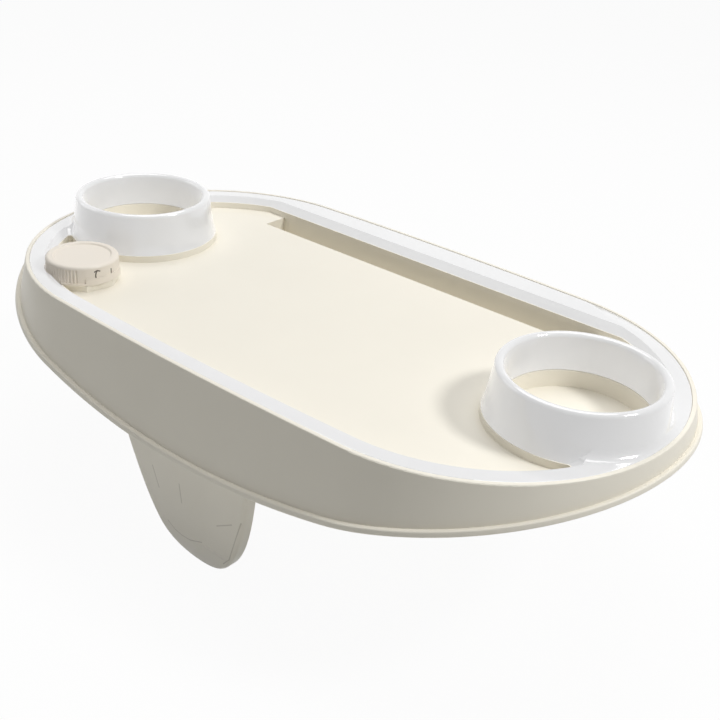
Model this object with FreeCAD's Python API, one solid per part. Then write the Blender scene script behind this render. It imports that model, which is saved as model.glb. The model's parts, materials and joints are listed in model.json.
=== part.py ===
"""Hot tub tray: an oval tray with two cup collars, a tablet slot and a light rim.

The tray straddles the wall of a hot tub on two legs. All sizes are in millimetres.
The origin is the middle of the flat underside that rests on the tub wall.
+X runs along the tray, -Y is the front and +Z is up.
"""
import FreeCAD, Part
import os
from math import acos, asin, atan, atan2, cos, degrees, hypot, pi, radians, sin, sqrt
from FreeCAD import Vector

# Plan outline: four tangent arcs, measured at the top of the lip
HALF_LENGTH = 234.5
HALF_WIDTH = 127.5
SIDE_RADIUS = 2700.0

# Heights of the tray
LIP_TOP = 52.5
DECK_DROP = 9.0
CURB_DROP = 4.5
SKIN = 2.5

# Outer skirt: leans outwards, and its lower edge follows one large arc with straight ends
LIP_OVERHANG = 0.65
LIP_ROUND = 0.8
SKIRT_LEAN = 0.225
SKIRT_DEPTH = 52.6
SKIRT_SWEEP_RADIUS = 617.0
SKIRT_SWEEP_HALF = 141.0
BEAD_HEIGHT = 3.4
BEAD_REACH = 2.8
BEAD_ROUND = 0.9

# Rim channel between the lip and the curb round the deck
LIP_WIDTH = 1.7
CURB_INSET = 16.3
CURB_WALL = 1.8
NOTCH_RADIUS = 1.6

# Cup wells and the collars round them
CUP_END_INSET = 54.5
CUP_Y = -4.0
CUP_RADIUS = 42.0
CUP_FLOOR_DROP = 10.5
CUP_BASE_RADIUS = 52.0
SPIGOT_RADIUS = 40.9
SPIGOT_WALL = 2.1
SPIGOT_RISE = 0.5
SPIGOT_LEDGE = 0.3
COLLAR_HEIGHT = 23.1
COLLAR_RIM = 5.3
COLLAR_FOOT_RADIUS = 50.2
COLLAR_WALL = 1.8
COLLAR_FLARE = 6.0

# Light diffuser
DIFFUSER_GAP = 0.15
DIFFUSER_WALL = 1.8
DIFFUSER_TOP_DROP = 0.3
DIFFUSER_SETBACK = 0.6
RIDGE_INSET = 12.4
RIDGE_BACK_REACH = 6.4
RIDGE_CHAMFER = 0.7
RIDGE_NOTCH_RADIUS = 3.2
OUTER_EDGE_ROUND = 0.8

# Tablet slot along the back
SLOT_HALF_LENGTH = 138.0
SLOT_FRONT_Y = 79.5
SLOT_WIDTH = 20.0
SLOT_DEPTH = 24.0

# Battery compartment, front left
BATTERY_FROM_CUP = 33.0
BATTERY_FROM_FRONT = 45.0
CELL_RADIUS = 7.25
CELL_LENGTH = 49.0
NUB_RADIUS = 2.75
NUB_HEIGHT = 1.5
CELL_COUNT = 3
CELL_PACK_GAP = 0.1
TUBE_CLEARANCE = 0.4
TUBE_FLOOR = 1.8
NECK_RISE = 2.0
SEAT_CLEARANCE = 1.0
FLANGE_HEIGHT = 4.0
FLANGE_SIDES = 8
FLANGE_TURN = -9.0

# Battery cap
CAP_RADIUS = 23.5
CAP_RISE = 8.0
CAP_FOOT_GAP = 0.3
CAP_RECESS_RADIUS = 18.0
CAP_RECESS_DEPTH = 1.0
CAP_EDGE_ROUND = 2.2
CAP_SKIRT_GAP = 0.4
KNURL_COUNT = 66
KNURL_DEPTH = 0.6
KNURL_HALF_WIDTH = 0.8
KNURL_FREE_FROM = -42.0
KNURL_FREE_TO = 45.0
BAND_REACH = 0.6
BAND_STEPS = ((-72.0, -32.0, 3.0), (-32.0, 45.0, 0.0))
LUG_REACH = 1.4
LUG_SPAN = 50.0
LUG_ANGLES = (90.0, 270.0)
LUG_HEIGHT = 1.8
LUG_GAP = 0.2
LUG_DROP = 2.0
SEAL_THICKNESS = 1.0
SEAL_GAP = 0.1
CONTACT_THICKNESS = 0.5
CONTACT_GAP = 0.1
CONTACT_BOARD = 0.8
LEAF_WIDTH = 4.0
LEAF_THICKNESS = 0.4
LEAF_HALF_LENGTH = 4.5

# Legs
LEG_DROP = 144.5
LEG_HALF_WIDTH = 58.0
LEG_SIDE_SLOPE = 0.196
LEG_SIDE_RUN = 70.0
LEG_TIP_FULLNESS = 34.0
LEG_TOP = 14.0
LEG_ROOT_REACH = 2.5
LEG_LEAN = 0.12
LEG_DEPTH = 8.5
LEG_WALL = 2.5
LEG_TIP_CURL = 3.0
LEG_TIP_LENGTH = 20.0
LEG_EDGE_ROUND = 3.0
LEG_RIB = 2.0
LEG_RIB_X = 18.0
FLANGE_PLATE = 2.5
LEG_FLANGE_HALF_WIDTH = 46.0
LEG_FLANGE_GAP = 2.0
LEG_SCREW_X = 30.0
LEG_SCREW_INSET = 7.5

# Base cover and the dry compartment that it closes
COVER_MARGIN = 9.0
COVER_HALF_WIDTH = 101.0
COVER_CORNER = 12.0
GASKET = 1.0
FRAME_FROM_CUP = 102.0
FRAME_FRONT_Y = -92.0
FRAME_BACK_Y = 70.0
COVER_SCREW_INSET = 8.0

# Screws and bosses
BOSS_RADIUS = 4.2
BOSS_GAP = 0.3
PILOT_RADIUS = 1.3
SCREW_RADIUS = 1.3
SCREW_HEAD_RADIUS = 3.0
SCREW_HEAD_HEIGHT = 1.6
SCREW_LENGTH = 7.0
SCREW_HOLE_RADIUS = 1.6
HEAD_RECESS = 1.8

# Driver board, light strip and leads
BOARD_FROM_FRAME = 33.0
BOARD_Y = -66.0
BOARD_LENGTH = 46.0
BOARD_WIDTH = 28.0
BOARD_THICKNESS = 1.6
POST_RADIUS = 2.5
POST_HEIGHT = 3.5
CHIP_SIZE = 8.0
CHIP_HEIGHT = 1.2
STRIP_INSET = 5.6
STRIP_WIDTH = 4.4
STRIP_THICKNESS = 0.6
LED_SIZE = 3.0
LED_HEIGHT = 1.2
LED_COUNT = 30
LEAD_RADIUS = 0.8
LEAD_PITCH = 2.0
LEAD_BEND = 3.5
LEAD_DROP = 7.0
LEAD_CLEARANCE = 0.1
LEAD_RISE_X = 10.2
LEAD_RISE_Y = 7.5
GROMMET_WALL = 1.2

# Stiffening ribs under the deck
RIB_DEPTH = 8.0
RIB_WALL = 2.0
RIB_FROM_FRAME = 30.0
RIBS_FROM_CUP = (-30.0, 25.0)
LONG_RIBS = (-40.0, 35.0)

# Sizes that follow from the ones above
DECK_TOP = LIP_TOP - DECK_DROP
DECK_UNDER = DECK_TOP - SKIN
CURB_TOP = LIP_TOP - CURB_DROP
CUP_X = HALF_LENGTH - CUP_END_INSET
FRAME_HALF_LENGTH = CUP_X - FRAME_FROM_CUP
BOARD_X = BOARD_FROM_FRAME - FRAME_HALF_LENGTH
CUP_FLOOR = LIP_TOP - CUP_FLOOR_DROP
SPIGOT_TOP = LIP_TOP + SPIGOT_RISE
SPIGOT_OUTER = SPIGOT_RADIUS + SPIGOT_WALL
COLLAR_TOP = LIP_TOP + COLLAR_HEIGHT
SLOT_FLOOR = DECK_TOP - SLOT_DEPTH
SLOT_BACK_Y = SLOT_FRONT_Y + SLOT_WIDTH
DIFFUSER_TOP = LIP_TOP - DIFFUSER_TOP_DROP
BATTERY_X = -(CUP_X - BATTERY_FROM_CUP)
BATTERY_Y = -(HALF_WIDTH - BATTERY_FROM_FRONT)
CELL_ORBIT = (CELL_RADIUS + CELL_PACK_GAP) / sin(pi / CELL_COUNT)
BORE_RADIUS = CELL_ORBIT + CELL_RADIUS + TUBE_CLEARANCE
NECK_RADIUS = BORE_RADIUS + SKIN
NECK_TOP = LIP_TOP + NECK_RISE
CAP_TOP = LIP_TOP + CAP_RISE
CAP_FOOT = DECK_TOP + FLANGE_HEIGHT + CAP_FOOT_GAP
CAP_UNDER = NECK_TOP + SEAL_GAP + SEAL_THICKNESS
CAP_BORE = NECK_RADIUS + LUG_REACH + CAP_SKIRT_GAP
CELL_TOP = CAP_UNDER - CONTACT_THICKNESS - CONTACT_GAP
CELL_BOTTOM = CELL_TOP - NUB_HEIGHT - CELL_LENGTH
SEAT_RADIUS = CAP_RADIUS + SEAT_CLEARANCE
LEG_TIP = LIP_TOP - LEG_DROP
LEG_ROOT_Y = HALF_WIDTH + LEG_ROOT_REACH
LEG_FLANGE_INNER_Y = COVER_HALF_WIDTH + LEG_FLANGE_GAP
LEG_SCREW_Y = LEG_FLANGE_INNER_Y + LEG_SCREW_INSET
COVER_SCREW_X = FRAME_HALF_LENGTH + SKIN + BOSS_RADIUS + BOSS_GAP
COVER_HALF_LENGTH = COVER_SCREW_X + COVER_MARGIN
FRAME_BOTTOM = FLANGE_PLATE + GASKET
LEAD_RUN = DECK_UNDER - LEAD_DROP
PART_TALL = 400.0

UP = Vector(0, 0, 1)


def end_radius():
    """Radius of the end arcs that run tangent into the side arcs."""
    length, width, side = HALF_LENGTH, HALF_WIDTH, SIDE_RADIUS
    return (2 * side * width - width ** 2 - length ** 2) / (2 * (side - length))


END_RADIUS = end_radius()
END_CENTRE_X = HALF_LENGTH - END_RADIUS
SIDE_CENTRE_Y = HALF_WIDTH - SIDE_RADIUS
JOIN_ANGLE = atan2(-SIDE_CENTRE_Y, END_CENTRE_X)


def arc(start, middle, end):
    return Part.Arc(start, middle, end).toShape()


def centre_arc(cx, cy, radius, start, end, z):
    """Arc about (cx, cy) from one angle to another, in radians."""
    points = []
    for angle in (start, (start + end) / 2, end):
        points.append(Vector(cx + radius * cos(angle), cy + radius * sin(angle), z))
    return arc(*points)


def oval(inset, z):
    """Plan outline of the tray, moved inwards by inset, at height z."""
    side = SIDE_RADIUS - inset
    end = END_RADIUS - inset
    turn = JOIN_ANGLE
    edges = [
        centre_arc(END_CENTRE_X, 0, end, -turn, turn, z),
        centre_arc(0, SIDE_CENTRE_Y, side, turn, pi - turn, z),
        centre_arc(-END_CENTRE_X, 0, end, pi - turn, pi + turn, z),
        centre_arc(0, -SIDE_CENTRE_Y, side, pi + turn, 2 * pi - turn, z),
    ]
    return Part.Wire(edges)


def extrude(wire, height):
    return Part.Face(wire).extrude(Vector(0, 0, height))


def prism(inset, low, high):
    return extrude(oval(inset, low), high - low)


def loft(low_wire, high_wire):
    return Part.makeLoft([low_wire, high_wire], True, True)


def cylinder(x, y, radius, low, high):
    return Part.makeCylinder(radius, high - low, Vector(x, y, low), UP)


def cone(x, y, low_radius, high_radius, low, high):
    return Part.makeCone(low_radius, high_radius, high - low, Vector(x, y, low), UP)


def box(x0, x1, y0, y1, z0, z1):
    return Part.makeBox(x1 - x0, y1 - y0, z1 - z0, Vector(x0, y0, z0))


def fuse(shapes):
    shapes = list(shapes)
    return shapes[0].multiFuse(shapes[1:]).removeSplitter()


def notch_centre(side_x, side_y, end, collar, round_off):
    """Centre of a round that touches the end arc and the arc round a cup."""
    reach = end - round_off
    gap = collar + round_off
    dx = side_x * (CUP_X - END_CENTRE_X)
    dy = CUP_Y
    span = hypot(dx, dy)
    along = acos((reach ** 2 + span ** 2 - gap ** 2) / (2 * reach * span))
    angle = atan2(dy, dx) + side_x * side_y * along
    return side_x * END_CENTRE_X + reach * cos(angle), reach * sin(angle)


def unwrap(angle, near):
    """The same angle, moved by whole turns to lie close to another one."""
    while angle - near > pi:
        angle -= 2 * pi
    while near - angle > pi:
        angle += 2 * pi
    return angle


def opening_wire(inset, collar, round_off, back, z):
    """Closed outline inside the rim that runs round both cups, with a straight back."""
    end = END_RADIUS - inset
    side = SIDE_RADIUS - inset
    turn = JOIN_ANGLE
    back_turn = asin(back / end)
    back_x = END_CENTRE_X + end * cos(back_turn)
    edges = [centre_arc(0, -SIDE_CENTRE_Y, side, pi + turn, 2 * pi - turn, z)]
    edges.append(Part.makeLine(Vector(back_x, back, z), Vector(-back_x, back, z)))
    for side_x in (1, -1):
        marks = []
        for side_y in (-side_x, side_x):
            nx, ny = notch_centre(side_x, side_y, end, collar, round_off)
            rim_angle = atan2(ny, nx - side_x * END_CENTRE_X)
            cup_angle = atan2(ny - CUP_Y, nx - side_x * CUP_X)
            marks.append((nx, ny, rim_angle, cup_angle))
        first, last = marks
        start = -turn if side_x > 0 else pi - back_turn
        edges.append(centre_arc(side_x * END_CENTRE_X, 0, end, start, unwrap(first[2], start), z))
        turned = first[3] + pi
        edges.append(centre_arc(first[0], first[1], round_off,
                                first[2], unwrap(turned, first[2] + pi / 2), z))
        towards = pi if side_x > 0 else 0.0
        edges.append(centre_arc(side_x * CUP_X, CUP_Y, collar, unwrap(first[3], towards),
                                unwrap(last[3], towards), z))
        turned = last[3] + pi
        edges.append(centre_arc(last[0], last[1], round_off,
                                unwrap(turned, last[2] - pi / 2), last[2], z))
        finish = back_turn if side_x > 0 else pi + turn
        edges.append(centre_arc(side_x * END_CENTRE_X, 0, end, unwrap(last[2], finish), finish, z))
    return Part.Wire(Part.__sortEdges__(edges))


def deck_wire(grow, z):
    """Edge of the deck between the rim and the collars, moved outwards by grow."""
    return opening_wire(CURB_INSET - grow, CUP_BASE_RADIUS - grow, NOTCH_RADIUS + grow,
                        SLOT_BACK_Y + grow, z)


def ridge_wire(grow, z):
    """Top edge of the diffuser round the deck, moved outwards by grow."""
    return opening_wire(RIDGE_INSET - grow, COLLAR_FOOT_RADIUS - grow, RIDGE_NOTCH_RADIUS + grow,
                        SLOT_BACK_Y + RIDGE_BACK_REACH + grow, z)


def cup_centres():
    return [(side * CUP_X, CUP_Y) for side in (-1, 1)]


def revolve(points, x, y):
    """Solid of revolution about a vertical axis from (radius, height) points."""
    corners = [Vector(x + radius, y, z) for radius, z in points]
    face = Part.Face(Part.makePolygon(corners + corners[:1]))
    return face.revolve(Vector(x, y, 0), UP, 360)


def leaning_block(inset, low, high):
    """Block between two heights inside the skirt's outer face, moved inwards by inset."""
    low_grow = LIP_OVERHANG - inset + SKIRT_LEAN * (LIP_TOP - low)
    high_grow = LIP_OVERHANG - inset + SKIRT_LEAN * (LIP_TOP - high)
    turn = degrees(JOIN_ANGLE)
    pieces = []
    for x, start in ((END_CENTRE_X, -turn), (-END_CENTRE_X, 180 - turn)):
        end = Part.makeCone(END_RADIUS + low_grow, END_RADIUS + high_grow, high - low,
                            Vector(x, 0, low), UP, 2 * turn)
        end.rotate(Vector(x, 0, 0), UP, start)
        pieces.append(end)
    front, back = [cone(0, y, SIDE_RADIUS + low_grow, SIDE_RADIUS + high_grow, low, high)
                   for y in (-SIDE_CENTRE_Y, SIDE_CENTRE_Y)]
    far_x = END_CENTRE_X + PART_TALL * cos(JOIN_ANGLE)
    far_y = PART_TALL * sin(JOIN_ANGLE)
    corners = [(END_CENTRE_X, 0), (far_x, far_y), (-far_x, far_y),
               (-END_CENTRE_X, 0), (-far_x, -far_y), (far_x, -far_y), (END_CENTRE_X, 0)]
    between = extrude(Part.makePolygon([Vector(x, y, low) for x, y in corners]), high - low)
    pieces.append(between.common(front).common(back))
    return fuse(pieces)


def sweep_block(raised):
    """Space above the skirt's lower edge as seen from the front, its edge raised by an amount."""
    radius = SKIRT_SWEEP_RADIUS - raised
    centre_z = LIP_TOP - SKIRT_DEPTH + SKIRT_SWEEP_RADIUS
    turn = asin(SKIRT_SWEEP_HALF / SKIRT_SWEEP_RADIUS)
    end_x = radius * sin(turn)
    end_z = centre_z - radius * cos(turn)
    far_x = end_x + PART_TALL * cos(turn)
    far_z = end_z + PART_TALL * sin(turn)
    wire = [
        arc(Vector(-end_x, 0, end_z), Vector(0, 0, centre_z - radius), Vector(end_x, 0, end_z)),
        Part.makeLine(Vector(end_x, 0, end_z), Vector(far_x, 0, far_z)),
        Part.makeLine(Vector(far_x, 0, far_z), Vector(far_x, 0, PART_TALL)),
        Part.makeLine(Vector(far_x, 0, PART_TALL), Vector(-far_x, 0, PART_TALL)),
        Part.makeLine(Vector(-far_x, 0, PART_TALL), Vector(-far_x, 0, far_z)),
        Part.makeLine(Vector(-far_x, 0, far_z), Vector(-end_x, 0, end_z)),
    ]
    block = Part.Face(Part.Wire(wire)).extrude(Vector(0, 2 * PART_TALL, 0))
    block.translate(Vector(0, -PART_TALL, 0))
    return block


def edges_at(shape, test):
    return [edge for edge in shape.Edges if test(edge)]


def skirt_shell():
    """Lip, skirt and bead as one block that is still full under the deck."""
    low = LIP_TOP - SKIRT_DEPTH - 10
    outer = leaning_block(0, low, LIP_TOP)
    top = edges_at(outer, lambda e: e.BoundBox.ZMin > LIP_TOP - 0.01)
    outer = outer.makeFillet(LIP_ROUND, top)
    outer = outer.common(sweep_block(0))
    bead = leaning_block(-BEAD_REACH, low, LIP_TOP).common(sweep_block(0))
    bead = bead.cut(sweep_block(BEAD_HEIGHT))
    bead = bead.cut(leaning_block(SKIN, low - 10, LIP_TOP))
    bead = bead.makeFillet(BEAD_ROUND, edges_at(bead, is_bead_edge))
    hollow = leaning_block(SKIN, low - 10, DECK_UNDER)
    return outer.cut(hollow).fuse(bead)


def is_bead_edge(edge):
    """True for the bead's two outer edges, which lie outside the skirt's face."""
    for at in (0.3, 0.7):
        first, last = edge.ParameterRange
        point = edge.valueAt(first + at * (last - first))
        lean = LIP_OVERHANG + BEAD_REACH / 2 + SKIRT_LEAN * (LIP_TOP - point.z)
        if outline_distance(point) < lean:
            return False
    return True


def outline_distance(point):
    """How far a point lies outside the plan outline."""
    x, y = abs(point.x), abs(point.y)
    if atan2(y - SIDE_CENTRE_Y, x) >= JOIN_ANGLE:
        return hypot(x, y - SIDE_CENTRE_Y) - SIDE_RADIUS
    return hypot(x - END_CENTRE_X, y) - END_RADIUS


def deck_pocket():
    """Space above the deck, inside the lip, round the curb and the spigots."""
    space = prism(LIP_WIDTH, DECK_TOP, LIP_TOP + 1)
    curb = extrude(deck_wire(CURB_WALL, DECK_TOP), CURB_TOP - DECK_TOP)
    seat = cylinder(BATTERY_X, BATTERY_Y, SEAT_RADIUS + CURB_WALL, DECK_TOP, CURB_TOP)
    curb = curb.fuse(seat.common(prism(LIP_WIDTH, DECK_TOP, CURB_TOP)))
    curb = curb.cut(extrude(deck_wire(0, DECK_TOP), CURB_DROP + DECK_DROP))
    curb = curb.cut(cylinder(BATTERY_X, BATTERY_Y, SEAT_RADIUS, DECK_TOP, CURB_TOP))
    space = space.cut(curb)
    for x, y in cup_centres():
        space = space.cut(cylinder(x, y, SPIGOT_OUTER, DECK_TOP, SPIGOT_TOP))
    return space


def slot_trough(extra, floor, roof):
    """Space of the tablet slot, made larger by extra on every side."""
    return box(-SLOT_HALF_LENGTH - extra, SLOT_HALF_LENGTH + extra,
               SLOT_FRONT_Y - extra, SLOT_BACK_Y + extra, floor, roof)


def deck_ribs():
    """Stiffening ribs under the two ends of the deck."""
    low = DECK_UNDER - RIB_DEPTH
    high = DECK_UNDER + 1
    ribs = []
    for side in (-1, 1):
        for x in [FRAME_HALF_LENGTH + RIB_FROM_FRAME] + [CUP_X + step for step in RIBS_FROM_CUP]:
            ribs.append(box(side * x - RIB_WALL / 2, side * x + RIB_WALL / 2,
                            -HALF_WIDTH, HALF_WIDTH, low, high))
        inner = side * (FRAME_HALF_LENGTH + SKIN)
        outer = side * HALF_LENGTH
        for y in LONG_RIBS:
            ribs.append(box(min(inner, outer), max(inner, outer),
                            y - RIB_WALL / 2, y + RIB_WALL / 2, low, high))
    inside = leaning_block(SKIN / 2, low, high).common(sweep_block(BEAD_HEIGHT))
    return [rib.common(inside) for rib in ribs]


def frame_box(grow, low, high):
    return box(-FRAME_HALF_LENGTH - grow, FRAME_HALF_LENGTH + grow,
               FRAME_FRONT_Y - grow, FRAME_BACK_Y + grow, low, high)


def dry_frame():
    """Wall that hangs from the deck round the dry compartment."""
    wall = frame_box(SKIN, FRAME_BOTTOM, DECK_UNDER + 1)
    return wall.cut(frame_box(0, FRAME_BOTTOM, DECK_UNDER + 1))


def cover_screw_places():
    places = []
    front = FRAME_FRONT_Y + COVER_SCREW_INSET
    back = FRAME_BACK_Y - COVER_SCREW_INSET
    for side in (-1, 1):
        for y in (front, (front + back) / 2, back):
            places.append((side * COVER_SCREW_X, y))
    return places


def leg_screw_places(side_y):
    return [(side * LEG_SCREW_X, side_y * LEG_SCREW_Y) for side in (-1, 1)]


def all_screw_places():
    return cover_screw_places() + leg_screw_places(-1) + leg_screw_places(1)


def pilot_depth():
    return SCREW_LENGTH - FLANGE_PLATE + HEAD_RECESS + 0.4


def neck_lug(inner, outer, low, high):
    """Two bayonet lugs opposite each other, as ring pieces."""
    half = LUG_SPAN / 2
    return [ring_piece(inner, outer, at - half, at + half, low, high) for at in LUG_ANGLES]


def battery_tube():
    """Neck, seat flange and tube of the battery compartment."""
    x, y = BATTERY_X, BATTERY_Y
    corner = SEAT_RADIUS - CAP_FOOT_GAP
    points = []
    for step in range(FLANGE_SIDES + 1):
        angle = 2 * pi * (step + 0.5) / FLANGE_SIDES + radians(FLANGE_TURN)
        points.append(Vector(x + corner * cos(angle), y + corner * sin(angle), DECK_TOP - 0.5))
    flange = extrude(Part.makePolygon(points), FLANGE_HEIGHT + 0.5)
    tube = cylinder(x, y, NECK_RADIUS, 0, NECK_TOP)
    lug_top = NECK_TOP - LUG_DROP + LUG_HEIGHT / 2
    lugs = neck_lug(NECK_RADIUS - 0.5, NECK_RADIUS + LUG_REACH, lug_top - LUG_HEIGHT, lug_top)
    return [flange, tube] + lugs


def tray_body():
    body = skirt_shell().cut(deck_pocket())
    added = [dry_frame()] + deck_ribs()
    for x, y in cup_centres():
        added.append(cylinder(x, y, SPIGOT_OUTER, CUP_FLOOR - SKIN, DECK_UNDER + 0.5))
    added.append(slot_trough(SKIN, SLOT_FLOOR - SKIN, DECK_UNDER + 0.5))
    for x, y in all_screw_places():
        added.append(cylinder(x, y, BOSS_RADIUS, FLANGE_PLATE, DECK_UNDER + 0.5))
    body = fuse([body] + added + battery_tube())
    cuts = [slot_trough(0, SLOT_FLOOR, DECK_TOP + CURB_DROP)]
    for x, y in cup_centres():
        cuts.append(cylinder(x, y, SPIGOT_RADIUS, CUP_FLOOR, SPIGOT_TOP + 1))
    for x, y in all_screw_places():
        cuts.append(cylinder(x, y, PILOT_RADIUS, FLANGE_PLATE, FLANGE_PLATE + pilot_depth()))
    cuts.append(cylinder(BATTERY_X, BATTERY_Y, BORE_RADIUS, TUBE_FLOOR, NECK_TOP + 1))
    cuts += lead_holes()
    return body.cut(Part.makeCompound(cuts)).removeSplitter()


def opening_solid(extra):
    """Space over the deck inside the diffuser's sloping inner face, grown by extra."""
    shoulder = DIFFUSER_TOP - RIDGE_CHAMFER
    slope = loft(deck_wire(DIFFUSER_SETBACK + extra, CURB_TOP), ridge_wire(extra, shoulder))
    chamfer = loft(ridge_wire(extra, shoulder), ridge_wire(extra + RIDGE_CHAMFER, DIFFUSER_TOP))
    seat = cylinder(BATTERY_X, BATTERY_Y, SEAT_RADIUS + extra, CURB_TOP, DIFFUSER_TOP)
    return [slope, chamfer, seat]


def collar_lean():
    """Angle of a collar's outer wall from upright."""
    run = COLLAR_FOOT_RADIUS - CUP_RADIUS - COLLAR_RIM
    return atan(run / (COLLAR_HEIGHT - COLLAR_RIM / 2))


def collar_slope(z):
    """Outer radius of a collar at a height."""
    return COLLAR_FOOT_RADIUS - (z - LIP_TOP) * sin(collar_lean()) / cos(collar_lean())


def collar_shell(x, y, flare):
    """Collar with a full round rim, whose foot flares out by a radius or runs straight down."""
    rim_mid = CUP_RADIUS + COLLAR_RIM / 2
    rim_out = CUP_RADIUS + COLLAR_RIM
    rim_low = COLLAR_TOP - COLLAR_RIM / 2
    inner = SPIGOT_RADIUS + SPIGOT_LEDGE
    lean = collar_lean()
    foot = [Vector(COLLAR_FOOT_RADIUS, 0, LIP_TOP), Vector(CUP_BASE_RADIUS - DIFFUSER_SETBACK, 0, CURB_TOP)]
    line = [
        Part.makeLine(Vector(inner, 0, SPIGOT_TOP), Vector(CUP_RADIUS, 0, rim_low)),
        arc(Vector(CUP_RADIUS, 0, rim_low), Vector(rim_mid, 0, COLLAR_TOP), Vector(rim_out, 0, rim_low)),
    ]
    if flare:
        flare_z = DIFFUSER_TOP + flare
        flare_r = COLLAR_FOOT_RADIUS + (flare - (flare_z - LIP_TOP) * sin(lean)) / cos(lean)
        points = []
        for turn in (lean, (lean + pi / 2) / 2, pi / 2):
            points.append(Vector(flare_r - flare * cos(turn), 0, flare_z - flare * sin(turn)))
        line.append(arc(*points))
        foot = [points[0], points[2], Vector(flare_r, 0, CURB_TOP)]
    line.append(Part.makeLine(foot[-2], foot[-1]))
    line.append(Part.makeLine(Vector(rim_out, 0, rim_low), foot[0]))
    line.append(Part.makeLine(foot[-1], Vector(inner, 0, CURB_TOP)))
    line.append(Part.makeLine(Vector(inner, 0, CURB_TOP), Vector(inner, 0, SPIGOT_TOP)))
    solid = Part.Face(Part.Wire(Part.__sortEdges__(line))).revolve(Vector(0, 0, 0), UP, 360)
    solid.translate(Vector(x, y, 0))
    return solid


def collar_space(x, y):
    """Space between a collar's two walls, open underneath."""
    hollow = SPIGOT_OUTER + DIFFUSER_GAP
    roof = COLLAR_TOP - COLLAR_RIM / 2 - 0.5
    return revolve([
        (hollow, CURB_TOP - 1),
        (hollow, SPIGOT_TOP),
        (CUP_RADIUS + COLLAR_WALL, roof),
        (collar_slope(roof) - COLLAR_WALL, roof),
        (collar_slope(LIP_TOP) - COLLAR_WALL, CURB_TOP - 1),
    ], x, y)


def light_diffuser():
    """Rim cover and both collars, moulded in one piece."""
    outer = LIP_WIDTH + DIFFUSER_GAP
    inside = outer + DIFFUSER_WALL
    band = prism(outer, DECK_TOP, DIFFUSER_TOP)
    top = edges_at(band, lambda e: e.BoundBox.ZMin > DIFFUSER_TOP - 0.01)
    band = band.makeFillet(OUTER_EDGE_ROUND, top)
    mid_flare = DIFFUSER_TOP + COLLAR_FLARE / 2
    clear_space = prism(-COLLAR_HEIGHT, mid_flare, COLLAR_TOP + 1)
    outline = prism(outer, DECK_TOP, mid_flare).fuse(clear_space)
    over_deck = loft(ridge_wire(0, DIFFUSER_TOP), ridge_wire(COLLAR_FLARE, DIFFUSER_TOP + COLLAR_FLARE))
    opening = Part.makeCompound(opening_solid(0))
    shells = []
    spaces = []
    for x, y in cup_centres():
        flared = collar_shell(x, y, COLLAR_FLARE).common(outline)
        shells += [collar_shell(x, y, 0), flared.cut(over_deck).cut(opening)]
        spaces.append(collar_space(x, y))
        spaces.append(cylinder(x, y, SPIGOT_OUTER + DIFFUSER_GAP, DECK_TOP - 1, SPIGOT_TOP))
        spaces.append(cylinder(x, y, SPIGOT_RADIUS + SPIGOT_LEDGE, DECK_TOP - 1, SPIGOT_TOP + 1))
    body = fuse([band.cut(opening)] + shells)
    body = body.cut(prism(inside, DECK_TOP, CURB_TOP))
    under = prism(inside, CURB_TOP, DIFFUSER_TOP - DIFFUSER_WALL)
    under = under.cut(Part.makeCompound(opening_solid(DIFFUSER_WALL)))
    return body.cut(under).cut(Part.makeCompound(spaces)).removeSplitter()


def leg_plan(wall):
    """Leg outline seen from the front, moved in by a wall, as a face at y = 0."""
    tip = LEG_TIP + wall
    width = LEG_HALF_WIDTH - wall
    waist = width - LEG_SIDE_SLOPE * LEG_SIDE_RUN
    low = Vector(0, 0, tip)
    curves = []
    for side in (-1, 1):
        curve = Part.BezierCurve()
        curve.setPoles([low, Vector(side * LEG_TIP_FULLNESS, 0, tip),
                        Vector(side * waist, 0, LEG_TOP - LEG_SIDE_RUN), Vector(side * width, 0, LEG_TOP)])
        curves.append(curve.toShape())
    top = Part.makeLine(Vector(width, 0, LEG_TOP), Vector(-width, 0, LEG_TOP))
    return Part.Face(Part.Wire(Part.__sortEdges__(curves + [top])))


def leg_side(inset, depth):
    """Leg profile seen from the side: a leaning bar that curls in at the tip."""
    lean_y = LEG_ROOT_Y - inset
    bend = LEG_TIP + LEG_TIP_LENGTH
    bend_y = lean_y - LEG_LEAN * (LEG_TOP - bend)
    tip_y = bend_y - LEG_LEAN * LEG_TIP_LENGTH - LEG_TIP_CURL
    mid_y = bend_y - LEG_LEAN * LEG_TIP_LENGTH / 2 - LEG_TIP_CURL / 4
    outer = [
        Part.makeLine(Vector(0, lean_y, LEG_TOP), Vector(0, bend_y, bend)),
        arc(Vector(0, bend_y, bend), Vector(0, mid_y, bend - LEG_TIP_LENGTH / 2),
            Vector(0, tip_y, LEG_TIP)),
    ]
    back_top = lean_y - depth
    back_low = min(tip_y - 0.5, lean_y - depth - LEG_LEAN * (LEG_TOP - LEG_TIP))
    rest = [
        Part.makeLine(Vector(0, tip_y, LEG_TIP), Vector(0, back_low, LEG_TIP)),
        Part.makeLine(Vector(0, back_low, LEG_TIP), Vector(0, back_top, LEG_TOP)),
        Part.makeLine(Vector(0, back_top, LEG_TOP), Vector(0, lean_y, LEG_TOP)),
    ]
    return Part.Face(Part.Wire(outer + rest))


def leg_block(wall, inset, depth):
    tongue = leg_plan(wall).extrude(Vector(0, PART_TALL, 0))
    side = leg_side(inset, depth)
    side.translate(Vector(-PART_TALL / 2, 0, 0))
    return tongue.common(side.extrude(Vector(PART_TALL, 0, 0)))


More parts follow.
